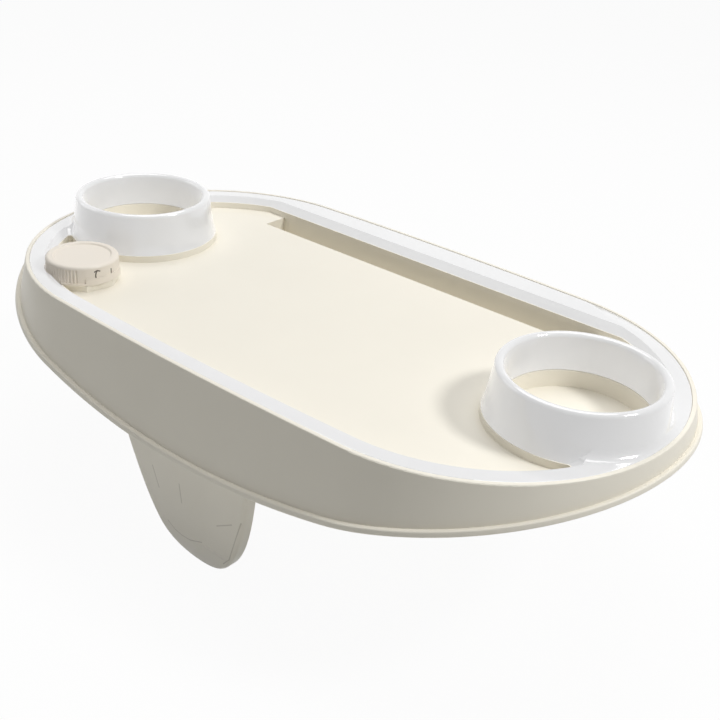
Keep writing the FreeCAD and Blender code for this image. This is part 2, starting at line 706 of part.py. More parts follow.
def leg():
    """Rear leg: an open-backed tongue with ribs and a screw flange."""
    outer = leg_block(0, 0, LEG_DEPTH)
    rim = edges_at(outer, is_leg_face_edge)
    outer = outer.makeFillet(LEG_EDGE_ROUND, rim)
    body = outer.cut(leg_block(LEG_WALL, LEG_WALL, LEG_DEPTH + 20))
    ribs = []
    for x in (-LEG_RIB_X, LEG_RIB_X):
        ribs.append(box(x - LEG_RIB / 2, x + LEG_RIB / 2, 0, PART_TALL, LEG_TIP, 0))
    middle = LEG_TIP / 2
    ribs.append(box(-PART_TALL, PART_TALL, 0, PART_TALL, middle - LEG_RIB / 2, middle + LEG_RIB / 2))
    rib_space = leg_block(LEG_WALL / 2, LEG_WALL / 2, LEG_DEPTH - LEG_WALL / 2)
    ribs = [rib.common(rib_space) for rib in ribs]
    flange = box(-LEG_FLANGE_HALF_WIDTH, LEG_FLANGE_HALF_WIDTH,
                 LEG_FLANGE_INNER_Y, LEG_ROOT_Y - LEG_WALL / 2, 0, FLANGE_PLATE)
    body = fuse([body, flange] + ribs)
    for x, y in leg_screw_places(1):
        body = body.cut(screw_hole(x, y))
    return body


def is_leg_face_edge(edge):
    """True for the curved edge between the leg's outer face and its sides."""
    if edge.BoundBox.ZLength < 5:
        return False
    first, last = edge.ParameterRange
    for at in (0.3, 0.7):
        point = edge.valueAt(first + at * (last - first))
        back_y = LEG_ROOT_Y - LEG_DEPTH - LEG_LEAN * (LEG_TOP - point.z)
        if point.y - back_y < LEG_DEPTH / 2:
            return False
    return True


def screw_hole(x, y):
    """Clearance hole and head recess of a screw driven up from below."""
    hole = cylinder(x, y, SCREW_HOLE_RADIUS, -1, FLANGE_PLATE + 1)
    return hole.fuse(cylinder(x, y, SCREW_HEAD_RADIUS + 0.2, -1, HEAD_RECESS - 0.4))


def screw(x, y):
    head_top = HEAD_RECESS - 0.4
    head = cylinder(x, y, SCREW_HEAD_RADIUS, head_top - SCREW_HEAD_HEIGHT + 0.3, head_top)
    cross = box(x - 1.6, x + 1.6, y - 0.35, y + 0.35, head_top - 2, head_top - 0.7)
    cross = cross.fuse(box(x - 0.35, x + 0.35, y - 1.6, y + 1.6, head_top - 2, head_top - 0.7))
    shank = cylinder(x, y, SCREW_RADIUS, head_top, head_top + SCREW_LENGTH - HEAD_RECESS)
    return head.cut(cross).fuse(shank)


def screws(places):
    return Part.makeCompound([screw(x, y) for x, y in places])


def rounded_plate(half_x, half_y, corner, low, high):
    plate = box(-half_x, half_x, -half_y, half_y, low, high)
    upright = edges_at(plate, lambda e: abs(e.BoundBox.ZLength - (high - low)) < 1e-6)
    return plate.makeFillet(corner, upright)


def base_cover():
    """Flat cover that closes the dry compartment and rests on the tub wall."""
    plate = rounded_plate(COVER_HALF_LENGTH, COVER_HALF_WIDTH, COVER_CORNER, 0, FLANGE_PLATE)
    for x, y in board_posts():
        plate = plate.fuse(cylinder(x, y, POST_RADIUS, FLANGE_PLATE - 0.5, FLANGE_PLATE + POST_HEIGHT))
    for x, y in cover_screw_places():
        plate = plate.cut(screw_hole(x, y))
    return plate.removeSplitter()


def cover_gasket():
    ring = frame_box(SKIN, FLANGE_PLATE, FRAME_BOTTOM)
    return ring.cut(frame_box(0, FLANGE_PLATE, FRAME_BOTTOM))


def knurl(angle):
    """V-shaped groove across the cap's edge."""
    along = Vector(cos(angle), sin(angle), 0)
    across = Vector(-sin(angle), cos(angle), 0)
    centre = Vector(BATTERY_X, BATTERY_Y, CAP_FOOT - 1)
    deep = centre + along * (CAP_RADIUS - KNURL_DEPTH)
    mouth = CAP_RADIUS + KNURL_DEPTH
    left = centre + along * mouth + across * (2 * KNURL_HALF_WIDTH)
    right = centre + along * mouth - across * (2 * KNURL_HALF_WIDTH)
    face = Part.Face(Part.makePolygon([deep, left, right, deep]))
    return face.extrude(Vector(0, 0, CAP_TOP - CAP_EDGE_ROUND - CAP_FOOT + 1))


def ring_piece(inner, outer, start, finish, low, high):
    """Part of a ring round the battery tube's axis, between two angles in degrees."""
    x, y = BATTERY_X, BATTERY_Y
    ring = cylinder(x, y, outer, low, high).cut(cylinder(x, y, inner, low, high))
    wedge = Part.makeCylinder(outer + 1, high - low, Vector(x, y, low), UP, finish - start)
    wedge.rotate(Vector(x, y, 0), UP, start)
    return ring.common(wedge)


def battery_cap():
    x, y = BATTERY_X, BATTERY_Y
    cap = cylinder(x, y, CAP_RADIUS, CAP_FOOT, CAP_TOP)
    top = edges_at(cap, lambda e: e.BoundBox.ZMin > CAP_TOP - 0.01)
    cap = cap.makeFillet(CAP_EDGE_ROUND, top)
    cuts = [cone(x, y, CAP_RECESS_RADIUS, CAP_RECESS_RADIUS + CAP_RECESS_DEPTH,
                 CAP_TOP - CAP_RECESS_DEPTH, CAP_TOP)]
    cuts.append(cylinder(x, y, CAP_BORE, CAP_FOOT - 1, CAP_UNDER))
    for step in range(KNURL_COUNT):
        angle = 360.0 * (step + 0.5) / KNURL_COUNT
        signed = angle - 360 if angle > 180 else angle
        if not KNURL_FREE_FROM < signed < KNURL_FREE_TO:
            cuts.append(knurl(radians(angle)))
    cap = cap.cut(Part.makeCompound(cuts))
    lug_top = NECK_TOP - LUG_DROP - LUG_HEIGHT / 2 - LUG_GAP
    pieces = neck_lug(NECK_RADIUS + CAP_SKIRT_GAP, CAP_BORE + 0.5, lug_top - LUG_HEIGHT, lug_top)
    for start, finish, drop in BAND_STEPS:
        pieces.append(ring_piece(CAP_RADIUS - KNURL_DEPTH - 0.2, CAP_RADIUS + BAND_REACH,
                                 start, finish, CAP_FOOT, LIP_TOP - drop))
    return fuse([cap] + pieces)


def cap_seal():
    x, y = BATTERY_X, BATTERY_Y
    ring = cylinder(x, y, NECK_RADIUS, CAP_UNDER - SEAL_THICKNESS, CAP_UNDER)
    return ring.cut(cylinder(x, y, BORE_RADIUS, CAP_UNDER - SEAL_THICKNESS, CAP_UNDER))


def cap_contact():
    x, y = BATTERY_X, BATTERY_Y
    return cylinder(x, y, BORE_RADIUS - 1.5, CAP_UNDER - CONTACT_THICKNESS, CAP_UNDER)


def cell_places():
    places = []
    for step in range(CELL_COUNT):
        angle = radians(90 + 360.0 * step / CELL_COUNT)
        places.append((BATTERY_X + CELL_ORBIT * cos(angle), BATTERY_Y + CELL_ORBIT * sin(angle)))
    return places


def battery_cell(x, y):
    can_top = CELL_BOTTOM + CELL_LENGTH
    return cylinder(x, y, CELL_RADIUS, CELL_BOTTOM, can_top).fuse(
        cylinder(x, y, NUB_RADIUS, can_top, CELL_TOP))


def contact_board():
    return cylinder(BATTERY_X, BATTERY_Y, BORE_RADIUS - 0.3, TUBE_FLOOR, TUBE_FLOOR + CONTACT_BOARD)


def contact_leaf(x, y):
    """Bent spring leaf between the contact board and the foot of a cell."""
    low = TUBE_FLOOR + CONTACT_BOARD
    high = CELL_BOTTOM
    half = LEAF_HALF_LENGTH
    thick = LEAF_THICKNESS
    line = [(-half, low), (0, low), (half, high - thick), (half, high), (half - 1.5, high),
            (-0.5, low + thick), (-half, low + thick)]
    corners = [Vector(x + px, y - LEAF_WIDTH / 2, z) for px, z in line]
    face = Part.Face(Part.makePolygon(corners + corners[:1]))
    return face.extrude(Vector(0, LEAF_WIDTH, 0))


def board_posts():
    posts = []
    for side_x in (-1, 1):
        for side_y in (-1, 1):
            posts.append((BOARD_X + side_x * (BOARD_LENGTH / 2 - 4),
                          BOARD_Y + side_y * (BOARD_WIDTH / 2 - 4)))
    return posts


def board_level():
    return FLANGE_PLATE + POST_HEIGHT


def driver_board():
    low = board_level()
    return box(BOARD_X - BOARD_LENGTH / 2, BOARD_X + BOARD_LENGTH / 2,
               BOARD_Y - BOARD_WIDTH / 2, BOARD_Y + BOARD_WIDTH / 2, low, low + BOARD_THICKNESS)


def driver_chip():
    low = board_level() + BOARD_THICKNESS
    return box(BOARD_X - CHIP_SIZE / 2, BOARD_X + CHIP_SIZE / 2,
               BOARD_Y - CHIP_SIZE / 2, BOARD_Y + CHIP_SIZE / 2, low, low + CHIP_HEIGHT)


def strip_ring(inset, width, low, high):
    return prism(inset, low, high).cut(prism(inset + width, low, high))


def strip_gap():
    """Stretch beside the battery seat where the strip has its two ends."""
    return cylinder(BATTERY_X, BATTERY_Y, SEAT_RADIUS + CURB_WALL + 3, DECK_TOP - 1, LIP_TOP)


def light_strip():
    ring = strip_ring(STRIP_INSET, STRIP_WIDTH, DECK_TOP, DECK_TOP + STRIP_THICKNESS)
    return ring.cut(strip_gap()).cut(feed_hole(LEAD_RADIUS + 0.3))


def strip_path():
    return oval(STRIP_INSET + STRIP_WIDTH / 2, DECK_TOP + STRIP_THICKNESS)


def light_sources():
    """Light-emitting packages, evenly spaced along the strip."""
    path = strip_path()
    gap = strip_gap()
    packages = []
    ordered = path.OrderedEdges
    total = sum(edge.Length for edge in ordered)
    for step in range(LED_COUNT):
        left = total * (step + 0.5) / LED_COUNT
        for edge in ordered:
            if left <= edge.Length:
                break
            left -= edge.Length
        at = edge.getParameterByLength(left)
        point = edge.valueAt(at)
        tangent = edge.tangentAt(at)
        half = LED_SIZE / 2
        package = box(-half, half, -half, half, 0, LED_HEIGHT)
        package.rotate(Vector(0, 0, 0), UP, degrees(atan2(tangent.y, tangent.x)))
        package.translate(point)
        if package.common(gap).Volume < 1e-6:
            packages.append(package)
    return Part.makeCompound(packages)


def feed_place():
    """Point in the rim channel where the strip's lead comes up."""
    x = BOARD_X
    inset = STRIP_INSET + STRIP_WIDTH / 2
    y = SIDE_CENTRE_Y + sqrt((SIDE_RADIUS - inset) ** 2 - x ** 2)
    return x, -y


def feed_hole(radius):
    x, y = feed_place()
    return cylinder(x, y, radius, DECK_UNDER - 5, LIP_TOP)


def routed(points, radius):
    """Round lead along straight runs that meet in tangent bends."""
    edges = []
    start = points[0]
    for before, corner, after in zip(points, points[1:], points[2:]):
        along = (corner - before).normalize()
        away = (after - corner).normalize()
        first = corner - along * LEAD_BEND
        last = corner + away * LEAD_BEND
        centre = first + away * LEAD_BEND
        middle = centre + (along - away) * (LEAD_BEND * sqrt(0.5))
        edges += [Part.makeLine(start, first), arc(first, middle, last)]
        start = last
    edges.append(Part.makeLine(start, points[-1]))
    path = Part.Wire(edges)
    circle = Part.Wire(Part.makeCircle(radius, points[0], points[1] - points[0]))
    return path.makePipeShell([circle], True, True)


def strip_lead():
    """Lead from the driver board up to the light strip in the rim channel."""
    x, y = feed_place()
    start_y = BOARD_Y - BOARD_WIDTH / 2 + 3
    return routed([Vector(x, start_y, board_level() + BOARD_THICKNESS), Vector(x, start_y, LEAD_RUN),
                   Vector(x, y, LEAD_RUN), Vector(x, y, DECK_TOP)], LEAD_RADIUS)


def battery_leads():
    """Two leads from the contact board, up the tube and across to the driver board."""
    leads = []
    start_x = BATTERY_X + LEAD_RISE_X
    end_x = BOARD_X - BOARD_LENGTH / 2 + 3
    for side in (-1, 1):
        y = lead_y(side)
        points = [Vector(start_x, y, TUBE_FLOOR + CONTACT_BOARD), Vector(start_x, y, LEAD_RUN),
                  Vector(end_x, y, LEAD_RUN), Vector(end_x, y, board_level() + BOARD_THICKNESS)]
        leads.append(routed(points, LEAD_RADIUS))
    return Part.makeCompound(leads)


def lead_y(side):
    return BATTERY_Y + LEAD_RISE_Y + side * LEAD_PITCH / 2


def lead_holes():
    """Holes for the leads through the tube, the compartment wall and the rim."""
    holes = [feed_hole(LEAD_RADIUS + GROMMET_WALL)]
    loose = LEAD_RADIUS + LEAD_CLEARANCE
    for side in (-1, 1):
        origin = Vector(BATTERY_X + LEAD_RISE_X, lead_y(side), LEAD_RUN)
        reach = -FRAME_HALF_LENGTH - origin.x + 1
        holes.append(Part.makeCylinder(loose, reach, origin, Vector(1, 0, 0)))
    origin = Vector(feed_place()[0], FRAME_FRONT_Y + 1, LEAD_RUN)
    holes.append(Part.makeCylinder(loose, SKIN + 2, origin, Vector(0, -1, 0)))
    return holes


def rim_grommet():
    x, y = feed_place()
    outer = cylinder(x, y, LEAD_RADIUS + GROMMET_WALL, DECK_UNDER, DECK_TOP)
    collar = cylinder(x, y, LEAD_RADIUS + GROMMET_WALL + 1, DECK_UNDER - 1.5, DECK_UNDER)
    return outer.fuse(collar).cut(cylinder(x, y, LEAD_RADIUS, DECK_UNDER - 5, LIP_TOP))


def mirrored(shape):
    return shape.mirror(Vector(0, 0, 0), Vector(0, 1, 0))


def build():
    rear = leg()
    nodes = {
        "tray_body": tray_body(),
        "light_diffuser": light_diffuser(),
        "light_strip": light_strip(),
        "light_sources": light_sources(),
        "front_leg": mirrored(rear),
        "rear_leg": rear,
        "front_leg_screws": screws(leg_screw_places(-1)),
        "rear_leg_screws": screws(leg_screw_places(1)),
        "base_cover": base_cover(),
        "cover_gasket": cover_gasket(),
        "base_cover_screws": screws(cover_screw_places()),
        "battery_cap": battery_cap(),
        "cap_seal": cap_seal(),
        "cap_contact_plate": cap_contact(),
        "contact_board": contact_board(),
        "driver_board": driver_board(),
        "driver_chip": driver_chip(),
        "battery_leads": battery_leads(),
        "strip_lead": strip_lead(),
        "rim_grommet": rim_grommet(),
    }
    for number, (x, y) in enumerate(cell_places(), 1):
        nodes["battery_cell_%d" % number] = battery_cell(x, y)
        nodes["contact_leaf_%d" % number] = contact_leaf(x, y)
    return nodes


def main():
    os.makedirs("parts", exist_ok=True)
    for name, shape in build().items():
        print(name, "solids", len(shape.Solids), "valid", shape.isValid(), "volume", round(shape.Volume))
        shape.exportStep("parts/%s.step" % name)


main()
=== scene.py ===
import json
import math
import bpy
import bmesh
from mathutils import Matrix, Vector


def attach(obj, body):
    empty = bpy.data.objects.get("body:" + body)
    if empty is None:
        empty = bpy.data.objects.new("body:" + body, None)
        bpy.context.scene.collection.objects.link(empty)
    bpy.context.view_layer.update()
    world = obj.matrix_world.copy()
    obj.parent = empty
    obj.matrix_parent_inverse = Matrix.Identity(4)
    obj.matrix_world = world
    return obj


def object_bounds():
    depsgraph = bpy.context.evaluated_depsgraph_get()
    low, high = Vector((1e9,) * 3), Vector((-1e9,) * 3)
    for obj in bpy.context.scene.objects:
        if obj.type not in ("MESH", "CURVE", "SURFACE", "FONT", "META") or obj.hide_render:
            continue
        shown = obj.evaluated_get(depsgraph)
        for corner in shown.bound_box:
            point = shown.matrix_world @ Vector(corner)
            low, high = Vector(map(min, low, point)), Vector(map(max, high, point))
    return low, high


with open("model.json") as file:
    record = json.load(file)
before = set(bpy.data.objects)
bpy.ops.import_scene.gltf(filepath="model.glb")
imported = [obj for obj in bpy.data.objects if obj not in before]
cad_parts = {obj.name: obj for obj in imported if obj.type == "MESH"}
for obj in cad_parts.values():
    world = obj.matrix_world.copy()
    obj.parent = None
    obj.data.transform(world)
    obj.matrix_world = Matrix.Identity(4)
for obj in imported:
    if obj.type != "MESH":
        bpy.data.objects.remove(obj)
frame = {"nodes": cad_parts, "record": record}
cad_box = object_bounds()
nodes = frame["nodes"]
scene = bpy.context.scene

# Height of the leg tips
LEG_TIP = cad_box[0][2]

# Mesh clean-up: weld distance, and the angle in degrees from which an edge stays sharp
WELD_DISTANCE = 0.000002
SHARP_ANGLE = 28.0

# Painted shade lines on a leg's outer face, as (x, z) ends: painted shade where the ribs behind it
# leave sink marks, then painted shade along the crease between the face and the leg's side
LEG_SHADE_LINES = (
    ((-0.0298, -0.0293), (-0.0267, -0.0449)),
    ((-0.0060, -0.0315), (-0.0061, -0.0463)),
    ((0.0246, -0.0470), (0.0384, -0.0383)),
    ((-0.0227, -0.0694), (-0.0169, -0.0735)),
    ((-0.0169, -0.0735), (-0.0110, -0.0750)),
    ((-0.0110, -0.0750), (-0.0032, -0.0746)),
    ((-0.0032, -0.0746), (0.0082, -0.0698)),
    ((0.0462, -0.0330), (0.0322, -0.0695)),
    ((0.0322, -0.0695), (0.0262, -0.0765)),
)
# Half width in metres and darkening share of the painted shade lines
LEG_SHADE_HALF_WIDTH = 0.0006
LEG_SHADE_DEPTH = 0.75

# Battery cap: its axis and outer radius, and the turn marks on its side as (degrees, z) points
CAP_AXIS = (-0.147, -0.0825)
CAP_RADIUS = 0.0235
TURN_ARROW = (
    ((-18.5, 0.0566), (-13.5, 0.0575), (-8.5, 0.0566)),
    ((-13.5, 0.0573), (-15.7, 0.0558), (-16.6, 0.0540), (-15.8, 0.0522), (-13.8, 0.0512)),
)
LOCK_TICK = (((13.0, 0.0560), (13.0, 0.0515)),)
MARK_WIDTH = 0.0008
MARK_PROUD = 0.00012

# Camera: degrees round from -Y, degrees above the tray, degrees of roll, metres and millimetres
CAMERA_AZIMUTH = 38.41
CAMERA_ELEVATION = 28.15
CAMERA_ROLL = 4.0
CAMERA_DISTANCE = 0.58973
CAMERA_TARGET = (0.06483, -0.0493, 0.0525)
CAMERA_LENS = 51.79

# Floor: its half size, the gap under the legs, its shade for bounced light and its white share
FLOOR_HALF_SIZE = 6.0
FLOOR_GAP = 0.0002
FLOOR_SHADE = 0.85
FLOOR_GLOW = 0.95

# Painted glow: emission strength that lightens the milky rim all over, its shaded sides too
PAINTED_RIM_GLOW = 0.36

# Lamps: places in metres and degrees, disc sizes in metres and power in watts
WORLD_LIGHT = 0.149
KEY_AZIMUTH = 19.9
KEY_HEIGHT = 46.5
KEY_DISTANCE = 1.6
KEY_SIZE = 0.32
KEY_POWER = 10.8
OVERHEAD_PLACE = (-0.2, 0.3, 1.5)
OVERHEAD_SIZE = 1.4
OVERHEAD_POWER = 13.4
SIDE_PLACE = (-1.3, -0.5, 0.7)
SIDE_SIZE = 1.0
SIDE_POWER = 2.3


# Colours and shader helpers

def srgb(r, g, b):
    """Linear colour from 0 to 255 screen values."""
    out = []
    for value in (r, g, b):
        v = value / 255.0
        out.append(v / 12.92 if v <= 0.04045 else ((v + 0.055) / 1.055) ** 2.4)
    return (*out, 1.0)


class Maker:
    """Short helper for a node material around one Principled shader."""

    def __init__(self, name):
        self.material = bpy.data.materials.new(name)
        self.material.use_nodes = True
        self.tree = self.material.node_tree
        self.shader = self.tree.nodes["Principled BSDF"]
        self.coords = None

    def node(self, kind):
        return self.tree.nodes.new(kind)

    def link(self, a, a_name, b, b_name):
        self.tree.links.new(a.outputs[a_name], b.inputs[b_name])

    def object_coords(self):
        if self.coords is None:
            self.coords = self.node("ShaderNodeTexCoord")
        return self.coords

    def noise(self, scale, detail=3.0, roughness=0.5, stretch=None):
        """Noise in object space, scale in cycles per metre."""
        made = self.node("ShaderNodeTexNoise")
        made.inputs["Scale"].default_value = scale
        made.inputs["Detail"].default_value = detail
        made.inputs["Roughness"].default_value = roughness
        source = self.object_coords()
        if stretch:
            mapping = self.node("ShaderNodeMapping")
            mapping.inputs["Scale"].default_value = stretch
            self.link(source, "Object", mapping, "Vector")
            self.link(mapping, "Vector", made, "Vector")
        else:
            self.link(source, "Object", made, "Vector")
        return made

    def ramp(self, source, output, stops):
        made = self.node("ShaderNodeValToRGB")
        ramp = made.color_ramp
        while len(ramp.elements) < len(stops):
            ramp.elements.new(0.5)
        for element, (place, colour) in zip(ramp.elements, stops):
            element.position = place
            element.color = colour
        self.link(source, output, made, "Fac")
        return made

    def range(self, source, output, low, high, new_low, new_high):
        made = self.node("ShaderNodeMapRange")
        made.inputs["From Min"].default_value = low
        made.inputs["From Max"].default_value = high
        made.inputs["To Min"].default_value = new_low
        made.inputs["To Max"].default_value = new_high
        self.link(source, output, made, "Value")
        return made

    def math(self, operation, a, b):
        """Maths node whose two inputs are numbers or (node, output) pairs."""
        made = self.node("ShaderNodeMath")
        made.operation = operation
        for socket, value in zip(made.inputs, (a, b)):
            if isinstance(value, tuple):
                self.tree.links.new(value[0].outputs[value[1]], socket)
            else:
                socket.default_value = value
        return made

    def near_line(self, start, end):
        """Distance in metres from a line seen along Y, between two (x, z) places."""
        place = self.node("ShaderNodeSeparateXYZ")
        self.link(self.object_coords(), "Object", place, "Vector")
        run = (end[0] - start[0], end[1] - start[1])
        length = math.hypot(*run)
        along = (run[0] / length, run[1] / length)
        x = self.math("SUBTRACT", (place, "X"), start[0])
        z = self.math("SUBTRACT", (place, "Z"), start[1])
        forward = self.math("ADD", (self.math("MULTIPLY", (x, "Value"), along[0]), "Value"),
                            (self.math("MULTIPLY", (z, "Value"), along[1]), "Value"))
        sideways = self.math("SUBTRACT", (self.math("MULTIPLY", (x, "Value"), along[1]), "Value"),
                             (self.math("MULTIPLY", (z, "Value"), along[0]), "Value"))
        middle = self.math("SUBTRACT", (forward, "Value"), length / 2)
        from_middle = self.math("ABSOLUTE", (middle, "Value"), 0.0)
        beyond = self.math("SUBTRACT", (from_middle, "Value"), length / 2)
        outside = self.math("MAXIMUM", (beyond, "Value"), 0.0)
        outside_square = self.math("MULTIPLY", (outside, "Value"), (outside, "Value"))
        sideways_square = self.math("MULTIPLY", (sideways, "Value"), (sideways, "Value"))
        square = self.math("ADD", (outside_square, "Value"), (sideways_square, "Value"))
        return self.math("SQRT", (square, "Value"), 0.0)

    def bump(self, source, output, strength, distance):
        made = self.node("ShaderNodeBump")
        made.inputs["Strength"].default_value = strength
        made.inputs["Distance"].default_value = distance
        self.link(source, output, made, "Height")
        self.link(made, "Normal", self.shader, "Normal")
        return made


def moulded(name, colour, shade, roughness, grain=0.25):
    """Satin moulded plastic: fine spark grain, faint flow mottling, varied gloss."""
    m = Maker(name)
    flow = m.noise(9.0, 4.0, 0.55)
    tint = m.ramp(flow, "Fac", [(0.3, shade), (0.7, colour)])
    m.link(tint, "Color", m.shader, "Base Color")
    gloss = m.noise(60.0, 2.0, 0.5)
    rough = m.range(gloss, "Fac", 0.3, 0.7, roughness - 0.04, roughness + 0.05)
    m.link(rough, "Result", m.shader, "Roughness")
    m.bump(m.noise(2200.0, 2.0, 0.6), "Fac", grain, 0.00004)
    m.shader.inputs["Specular IOR Level"].default_value = 0.45
    return m


def leg_moulding(name, colour, shade):
    """Moulded plastic with painted shade lines on a leg's outer face."""
    m = moulded(name, colour, shade, 0.38, 0.2)
    nearest = None
    for start, end in LEG_SHADE_LINES:
        distance = m.near_line(start, end)
        if nearest is None:
            nearest = distance
        else:
            nearest = m.math("MINIMUM", (nearest, "Value"), (distance, "Value"))
    # Painted shade: the base colour is darkened along the leg's lines
    line = m.range(nearest, "Value", LEG_SHADE_HALF_WIDTH, 0.0, 0.0, 1.0)
    base = m.shader.inputs["Base Color"].links[0].from_node
    painted_shade = m.node("ShaderNodeMixRGB")
    painted_shade.blend_type = "MULTIPLY"
    m.link(m.math("MULTIPLY", (line, "Result"), LEG_SHADE_DEPTH), "Value", painted_shade, "Fac")
    m.link(base, "Color", painted_shade, "Color1")
    painted_shade.inputs["Color2"].default_value = (0.55, 0.53, 0.5, 1.0)
    m.link(painted_shade, "Color", m.shader, "Base Color")
    return m.material


def frosted(name):
    """Milky glossy plastic that light soaks into, with a painted glow."""
    m = Maker(name)
    flow = m.noise(14.0, 3.0, 0.5)
    tint = m.ramp(flow, "Fac", [(0.3, srgb(174, 174, 174)), (0.7, srgb(180, 180, 180))])
    m.link(tint, "Color", m.shader, "Base Color")
    gloss = m.noise(45.0, 2.0, 0.5)
    rough = m.range(gloss, "Fac", 0.3, 0.7, 0.10, 0.2)
    m.link(rough, "Result", m.shader, "Roughness")
    m.bump(m.noise(120.0, 2.0, 0.5), "Fac", 0.05, 0.0002)
    m.shader.inputs["Subsurface Weight"].default_value = 0.4
    m.shader.inputs["Subsurface Radius"].default_value = (0.0012, 0.0012, 0.0012)
    m.shader.inputs["Subsurface Scale"].default_value = 1.0
    m.shader.inputs["Coat Weight"].default_value = 0.9
    m.shader.inputs["Coat Roughness"].default_value = 0.06
    m.shader.inputs["Coat IOR"].default_value = 1.65
    m.shader.inputs["IOR"].default_value = 1.49
    # Painted glow that lightens the rim, its shaded sides too
    m.shader.inputs["Emission Color"].default_value = (0.99, 0.99, 1.0, 1.0)
    m.shader.inputs["Emission Strength"].default_value = PAINTED_RIM_GLOW
    return m.material


def metal(name, colour, roughness):
    """Metal with fine drawn streaks."""
    m = Maker(name)
    m.shader.inputs["Metallic"].default_value = 1.0
    streak = m.noise(900.0, 3.0, 0.6, stretch=(1.0, 1.0, 0.1))
    tint = m.ramp(streak, "Fac", [(0.3, tuple(v * 0.85 for v in colour[:3]) + (1.0,)), (0.7, colour)])
    m.link(tint, "Color", m.shader, "Base Color")
    rough = m.range(streak, "Fac", 0.3, 0.7, roughness - 0.05, roughness + 0.1)
    m.link(rough, "Result", m.shader, "Roughness")
    m.bump(streak, "Fac", 0.1, 0.00005)
    return m.material


def plain(name, colour, shade, roughness):
    """Even material with slight mottling, grain and change of gloss."""
    m = Maker(name)
    noise = m.noise(300.0, 3.0, 0.6)
    tint = m.ramp(noise, "Fac", [(0.3, shade), (0.7, colour)])
    m.link(tint, "Color", m.shader, "Base Color")
    rough = m.range(noise, "Fac", 0.3, 0.7, roughness - 0.05, roughness + 0.08)
    m.link(rough, "Result", m.shader, "Roughness")
    m.bump(noise, "Fac", 0.1, 0.0001)
    return m.material


materials = {
    "body_plastic": moulded("body_plastic", srgb(243, 238, 225), srgb(240, 235, 222), 0.4).material,
    "diffuser_plastic": frosted("diffuser_plastic"),
    "leg_plastic": leg_moulding("leg_plastic", srgb(243, 238, 225), srgb(240, 235, 222)),
    "cap_plastic": moulded("cap_plastic", srgb(240, 232, 220), srgb(236, 228, 216), 0.4).material,
    "screw_steel": metal("screw_steel", (0.62, 0.61, 0.6, 1.0), 0.28),
    "spring_steel": metal("spring_steel", (0.7, 0.68, 0.62, 1.0), 0.25),
    "seal_rubber": plain("seal_rubber", srgb(70, 70, 72), srgb(58, 58, 60), 0.75),
    "board_laminate": plain("board_laminate", srgb(38, 110, 62), srgb(30, 96, 52), 0.45),
    "chip_plastic": plain("chip_plastic", srgb(38, 38, 40), srgb(30, 30, 32), 0.5),
    "light_plastic": plain("light_plastic", srgb(248, 240, 190), srgb(240, 230, 170), 0.3),
    "strip_film": plain("strip_film", srgb(240, 240, 238), srgb(232, 232, 230), 0.5),
    "lead_sleeve": plain("lead_sleeve", srgb(176, 44, 38), srgb(160, 36, 32), 0.45),
    "cell_can": plain("cell_can", srgb(70, 74, 82), srgb(60, 64, 72), 0.35),
}

slot_of = {entry["node"]: entry["material_slot"] for entry in frame["record"]["subparts"]}
for name, obj in nodes.items():
    obj.data.materials.clear()
    obj.data.materials.append(materials[slot_of[name]])
    for polygon in obj.data.polygons:
        polygon.use_smooth = True
    weld = obj.modifiers.new("weld", "WELD")
    weld.merge_threshold = WELD_DISTANCE
    split = obj.modifiers.new("split", "EDGE_SPLIT")
    split.split_angle = math.radians(SHARP_ANGLE)


# Turn arrow and lock tick on the battery cap's side

def cap_point(angle, radius, z):
    """Place at degrees round the cap's axis from +X."""
    turn = math.radians(angle)
    return Vector((CAP_AXIS[0] + radius * math.cos(turn), CAP_AXIS[1] + radius * math.sin(turn), z))


def add_stroke(made, points):
    """Flat bar along a line on the cap's side, a little proud of it."""
    degrees = math.degrees(1.0 / CAP_RADIUS)
    rings = []
    for index, (angle, z) in enumerate(points):
        before = points[max(index - 1, 0)]
        after = points[min(index + 1, len(points) - 1)]
        run = Vector(((after[0] - before[0]) / degrees, after[1] - before[1])).normalized()
        side = Vector((-run.y, run.x)) * (MARK_WIDTH / 2)
        ring = []
        for radius in (CAP_RADIUS - MARK_PROUD, CAP_RADIUS + MARK_PROUD):
            for sign in (-1, 1) if radius < CAP_RADIUS else (1, -1):
                corner = cap_point(angle + sign * side.x * degrees, radius, z + sign * side.y)
                ring.append(made.verts.new(corner))
        rings.append(ring)
    for low, high in zip(rings, rings[1:]):
        for corner in range(4):
            after = (corner + 1) % 4
            made.faces.new((low[corner], low[after], high[after], high[corner]))
    made.faces.new(rings[0][::-1])
    made.faces.new(rings[-1])


def cap_marks(strokes, name, material, body):
    """One piece of ink strokes that rides a body."""
    mesh = bpy.data.meshes.new(name)
    made = bmesh.new()
    for points in strokes:
        add_stroke(made, points)
    bmesh.ops.recalc_face_normals(made, faces=made.faces)
    made.to_mesh(mesh)
    made.free()
    mesh.materials.append(material)
    piece = bpy.data.objects.new(name, mesh)
    scene.collection.objects.link(piece)
    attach(piece, body)


ink = plain("mark_ink", srgb(112, 105, 96), srgb(98, 92, 84), 0.5)
cap_marks(TURN_ARROW, "cap_turn_arrow", ink, "cap")
cap_marks(LOCK_TICK, "cap_lock_tick", ink, "cap")


# Camera: the photograph's own view

